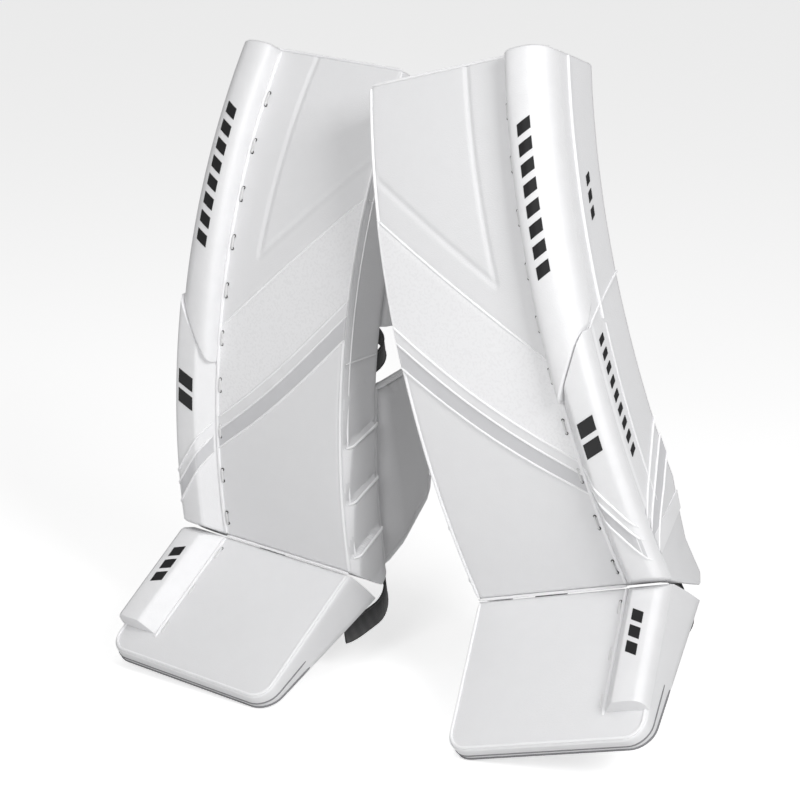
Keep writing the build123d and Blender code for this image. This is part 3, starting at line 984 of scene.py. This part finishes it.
def on_section(section, place):
    """Surface of a roll, from its section."""
    def surface(x, along, lift):
        for (x0, h0), (x1, h1) in zip(section, section[1:]):
            if x <= x1:
                return place(x, along, h0 + (h1 - h0) * max(0, x - x0) / (x1 - x0) + lift)
        return place(x, along, section[-1][1] + lift)
    return surface


def bars(surface, near, far, low, pitch, count, share=0.72, slant=7, lift=0.7):
    """Row of plain slanted bars."""
    shapes = []
    for number in range(count):
        start = low + pitch * number
        length = pitch * share

        def ends(t, start=start, length=length):
            return (near, start + length * t), (far, start + slant + length * t)

        shapes.append(patch(ends, surface, lift, 8, 8))
    return joined(shapes)


# Stripes that run on over the lower roll and up the outer side: along at the roll's inner edge,
# at the point of the V, and at the back of the side
ROLL_STRIPES = ((172, 92, 196), (152, 74, 170), (128, 46, 140))
ROLL_FROM, ROLL_SPAN = 84, 55
SIDE_FROM, SIDE_SPAN = 1, 72


def build_markings():
    upper, lower = on_section(UPPER_SECTION, leg), on_section(LOWER_SECTION, leg)
    piece("upper_roll_bars", bars(upper, 100, 119, 408, 24, 8, share=0.62, slant=9), BLACK, "leg")
    piece("lower_roll_bars", bars(lower, 104, 129, 188, 26, 2, slant=10), BLACK, "leg")
    piece("side_bars", bars(outer_point, 15, 24, 170, 18, 9, share=0.5), BLACK, "leg")
    piece("upper_side_bars", bars(outer_point, 44, 50, 470, 22, 3, share=0.6), BLACK, "leg")
    boot_roll = on_section(LOWER_SECTION, boot)
    piece("boot_roll_bars", bars(boot_roll, 108, 124, 48, 22, 3, share=0.7), BLACK, "boot")

    def across_roll(t):
        return ROLL_FROM + ROLL_SPAN * t

    def across_side(t):
        return SIDE_FROM + SIDE_SPAN * t

    cords = []
    for inner, apex, behind in ROLL_STRIPES:
        over = [lower(across_roll(t / 14), inner + (apex - inner) * t / 14, 0.9) for t in range(15)]
        up = [outer_point(across_side(t / 16), apex + (behind - apex) * t / 16, 0.9) for t in range(17)]
        cords += [tube(over, 1.4), tube(up, 1.4)]
    (i0, a0, b0), (i1, a1, b1) = ROLL_STRIPES[1:]

    def roll_ends(t):
        return (across_roll(t), i1 + (a1 - i1) * t), (across_roll(t), i0 + (a0 - i0) * t)

    def side_ends(t):
        return (across_side(t), a1 + (b1 - a1) * t), (across_side(t), a0 + (b0 - a0) * t)

    wraps = [patch(roll_ends, lower, 0.6, 24, 5), patch(side_ends, outer_point, 0.6, 24, 5)]
    piece("roll_stripe_piping", joined(cords), PIPING, "leg")
    piece("roll_stripes", joined(wraps), GREY, "leg")
    seam = [outer_point(across_side(t / 16), 340 + 60 * t / 16, 0.3) for t in range(17)]
    strip = patch(lambda t: ((2 + 70 * t, 40 + 20 * t), (2 + 70 * t, 66 + 20 * t)), outer_point, 1.1, 20, 4)
    lower_seam = [outer_point(30 + 3 * t / 20, 100 + 12 * t, 0.2) for t in range(21)]
    piece("side_trim", joined([tube(seam, 1.5), strip, tube(lower_seam, 1.3)]), PALE, "leg")


def build_ribs():
    """Light ridge cords on the sawtooth ribs of the inner side."""
    cords = []
    for top in (18, 98, 178):
        path = []
        for step in range(15):
            depth = 8 + 58 * step / 14
            along = top + RIB_SLOPE * depth
            path.append(leg(-HALF_WIDTH - medial_relief(along - 4, depth) - 0.4, along, -depth))
        cords.append(tube(path, 1.8))
    for seam in MEDIAL_SEAMS:
        path = [leg(-HALF_WIDTH - 1.2, seam + 0.12 * depth + 2.5, -depth) for depth in range(6, 70, 6)]
        cords.append(tube(path, 1.2))
    rim = [leg(-HALF_WIDTH - 1.0, 10 + 660 * step / 90, -14) for step in range(91)]
    cords.append(tube(rim, 1.3))
    piece("medial_cords", joined(cords), PIPING, "leg")


def build_boot_trim():
    heel_line, heel_half_width = 6, HALF_WIDTH - 5
    top_line = []
    for x, along in boot_outline(4):
        if along >= heel_line or abs(x) >= heel_half_width:
            top_line.append(boot(x, along, 0.6))
    piece("boot_piping", tube(top_line, 1.9), PIPING, "boot")
    toe = [p for p in boot_outline(-0.6) if p[1] > 120]
    for name, share, radius in (("toe_binding", 0.55, 1.5), ("sole_binding", 0.86, 1.9)):
        path = [boot(x, along, sole(along) * share) for x, along in toe]
        piece(name, tube(path, radius, flatness=0.7), BINDING, "boot")
    welt = [boot(ROLL_EDGE - 1.5, 5 + 175 * t / 30, 1.4) for t in range(31)]
    piece("boot_welt", tube(welt, 2.4), PIPING, "boot")


def build_lacing():
    leg_sites = lace_sites(LACE_COUNT)
    boot_sites = lace_sites(3)
    piece(
        "leg_laces", joined([stitch(on_face, along) for along in leg_sites]), LACE, "leg",
        replaces=("thigh_laces", "shin_laces"), slot="white_lace",
    )
    piece(
        "boot_lacing", joined([stitch(boot, along) for along in boot_sites]), LACE, "boot",
        replaces=("boot_laces",), slot="white_lace",
    )
    holes = [hole(on_face, along + end) for along in leg_sites for end in (0, LACE_STITCH)]
    piece("leg_lace_holes", joined(holes), HOLE, "leg", slot="black_plastic")
    holes = [hole(boot, along + end) for along in boot_sites for end in (0, LACE_STITCH)]
    piece("boot_lace_holes", joined(holes), HOLE, "boot", slot="black_plastic")


def build_back():
    for name, sheet in WINGS.items():
        thick = 13 if name == "inner_wing" else 11
        # Wing pads in the darker side leather: painted shade
        piece(name + "_pad", cushion(34, 44, sheet, thick), SHADED_SIDE_LEATHER, name, replaces=(name,),
              finish=lambda s: swell(s, limit=3))
        piece(name + "_rim", wing_rim(sheet), PIPING, name)
    lining = cushion(30, 34, back_sheet(87, 16, 250, PAD_DEPTH + 8), 12)
    piece("shin_lining_pad", lining, LINER, "shin", replaces=("shin_lining",), slot="liner_fabric",
          finish=lambda s: swell(s, limit=4))
    lining = cushion(30, 34, back_sheet(87, 429, 668, PAD_DEPTH + 8), 12)
    piece("thigh_lining_pad", lining, LINER, "thigh", replaces=("thigh_lining",), slot="liner_fabric",
          finish=lambda s: swell(s, limit=4))
    # Knee stack in the darker side leather: painted shade
    piece("knee_stack_pad", knee_block(), SHADED_SIDE_LEATHER, "thigh", replaces=("knee_stack",),
          finish=lambda s: swell(s, limit=3))


def build_straps():
    piece("knee_strap_band", knee_strap(), WEBBING, "shin", replaces=("knee_strap",), slot="black_webbing")
    piece("boot_strap_band", boot_strap(), WEBBING, "heel", replaces=("boot_strap",), slot="black_webbing")
    piece(
        "calf_strap_band", calf_strap(), WEBBING, "outer_wing",
        replaces=("calf_strap",), slot="black_webbing",
    )


def finish_hardware():
    for pad in PADS:
        for node, material in (("strap_rings", PLASTIC), ("toe_bridge", PLASTIC), ("toe_cord", CORD)):
            mesh = frame["nodes"][pad.body(node)].data
            mesh.materials.clear()
            mesh.materials.append(material)


# Studio: floor, lights and camera, in metres and degrees

CAMERA_AZIMUTH = 34.66
CAMERA_ELEVATION = 15.2
CAMERA_DISTANCE = 3.48
CAMERA_LENS = 122.8
CAMERA_TARGET = (-0.0167, -0.0551, 0.4099)
LIGHTS = (
    ("key", (2.5, -1.2, 2.1), 1.1, 55),
    ("front", (0.7, -3.2, 1.9), 1.2, 36),
    ("top", (0.0, -0.6, 3.2), 1.6, 12),
)
FLOOR_REACH = 30
FLOOR_GLOW = 0.6
AMBIENT = 0.25


def studio():
    low, high = (Vector(corner) for corner in CAD_BOX)
    centre = (low + high) / 2
    floor_mesh = bpy.data.meshes.new("floor")
    reach = FLOOR_REACH
    floor_mesh.from_pydata(
        [(-reach, -reach, 0), (reach, -reach, 0), (reach, reach, 0), (-reach, reach, 0)], [], [(0, 1, 2, 3)]
    )
    floor = bpy.data.objects.new("floor", floor_mesh)
    bpy.context.scene.collection.objects.link(floor)
    material, nodes, links, shader = new_material("floor")
    shader.inputs["Base Color"].default_value = (0.85, 0.85, 0.85, 1)
    shader.inputs["Roughness"].default_value = 0.9
    seen = nodes.new("ShaderNodeLightPath")
    glow = nodes.new("ShaderNodeMath")
    glow.operation = "MULTIPLY"
    glow.inputs[1].default_value = FLOOR_GLOW
    links.new(seen.outputs["Is Camera Ray"], glow.inputs[0])
    shader.inputs["Emission Color"].default_value = (1, 1, 1, 1)
    links.new(glow.outputs["Value"], shader.inputs["Emission Strength"])
    floor_mesh.materials.append(material)

    world = bpy.data.worlds.new("studio")
    bpy.context.scene.world = world
    world.use_nodes = True
    tree = world.node_tree
    background = tree.nodes["Background"]
    background.inputs["Color"].default_value = (1, 1, 1, 1)
    path = tree.nodes.new("ShaderNodeLightPath")
    strength = tree.nodes.new("ShaderNodeMapRange")
    strength.inputs["To Min"].default_value = AMBIENT
    strength.inputs["To Max"].default_value = 1.0
    tree.links.new(path.outputs["Is Camera Ray"], strength.inputs["Value"])
    tree.links.new(strength.outputs["Result"], background.inputs["Strength"])

    for name, place, size, power in LIGHTS:
        lamp = bpy.data.lights.new(name, "AREA")
        lamp.size = size
        lamp.energy = power
        light = bpy.data.objects.new(name, lamp)
        light.location = place
        light.rotation_euler = (centre - Vector(place)).to_track_quat("-Z", "Y").to_euler()
        bpy.context.scene.collection.objects.link(light)

    camera_data = bpy.data.cameras.new("camera")
    camera_data.lens = CAMERA_LENS
    camera = bpy.data.objects.new("camera", camera_data)
    bpy.context.scene.collection.objects.link(camera)
    azimuth, elevation = radians(CAMERA_AZIMUTH), radians(CAMERA_ELEVATION)
    target = Vector(CAMERA_TARGET)
    away = Vector((sin(azimuth) * cos(elevation), -cos(azimuth) * cos(elevation), sin(elevation)))
    camera.location = target + away * CAMERA_DISTANCE
    camera.rotation_euler = (-away).to_track_quat("-Z", "Y").to_euler()
    bpy.context.scene.camera = camera
    bpy.context.scene.view_settings.view_transform = "Standard"


build_body()
build_face_panels()
build_markings()
build_ribs()
build_boot_trim()
build_lacing()
build_back()
build_straps()
finish_hardware()
studio()
